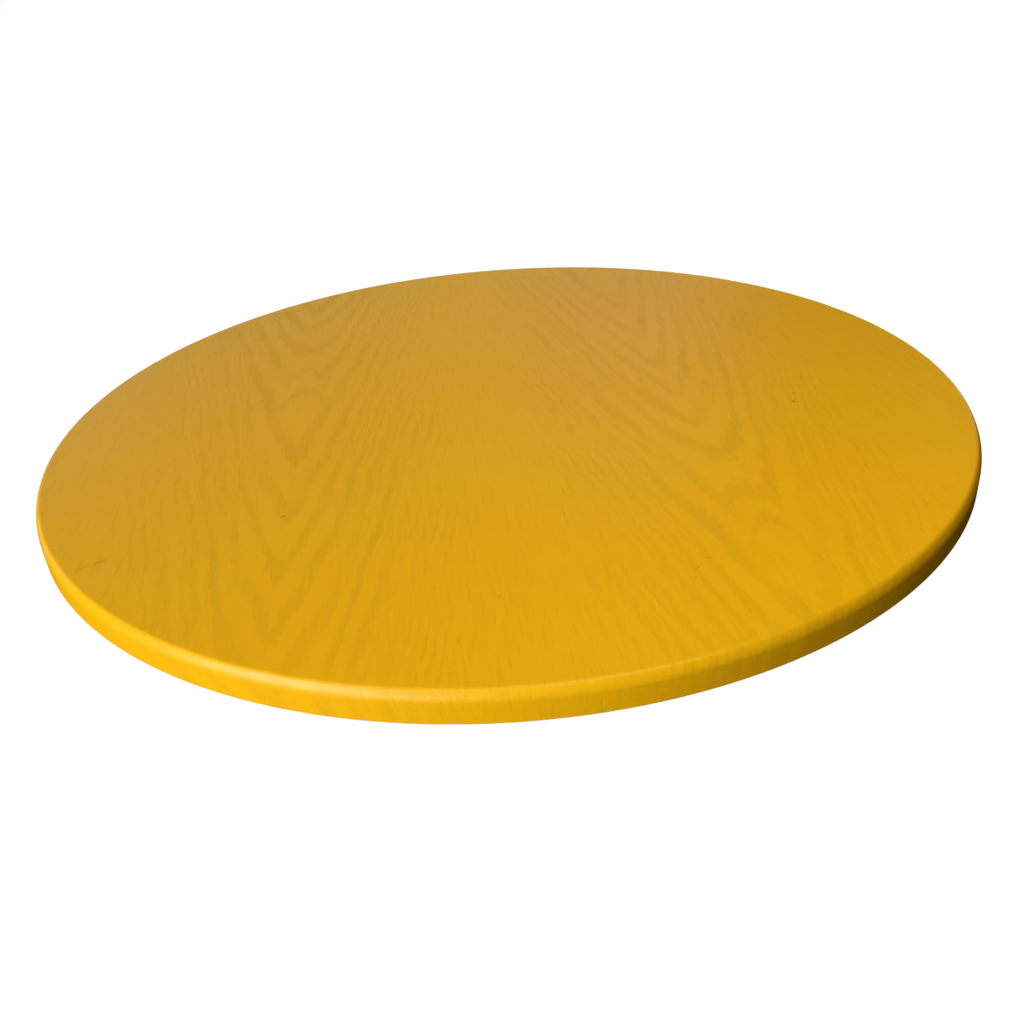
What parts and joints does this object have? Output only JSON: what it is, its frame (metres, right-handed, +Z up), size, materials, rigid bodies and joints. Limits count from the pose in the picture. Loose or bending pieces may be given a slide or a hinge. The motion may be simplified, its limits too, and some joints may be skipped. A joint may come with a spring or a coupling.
{
  "type": "round table top",
  "caption": "Thin round cafe table top with a rounded upper edge, wrapped in yellow wood-grain film, with threaded inserts underneath for a base plate.",
  "frame": {"origin": "centre of the underside, on the plane that the top rests on when it lies flat", "axes": "+Z up through the top face, +Y along the decor's grain, +X across the grain"},
  "size_m": [0.7999, 0.8, 0.024],
  "materials": {
    "fibre_board": "raw medium-density fibre board, matt",
    "yellow_wood_decor": "satin decor film with printed and embossed open-pored wood grain",
    "white_backing": "matt resin-filled balancing sheet, slightly textured",
    "plated_insert": "bright zinc plated"
  },
  "bodies": {
    "root": {"core_board": "fibre_board", "decor_film": "yellow_wood_decor", "backing_sheet": "white_backing", "threaded_inserts": "plated_insert"}
  },
  "joints": []
}
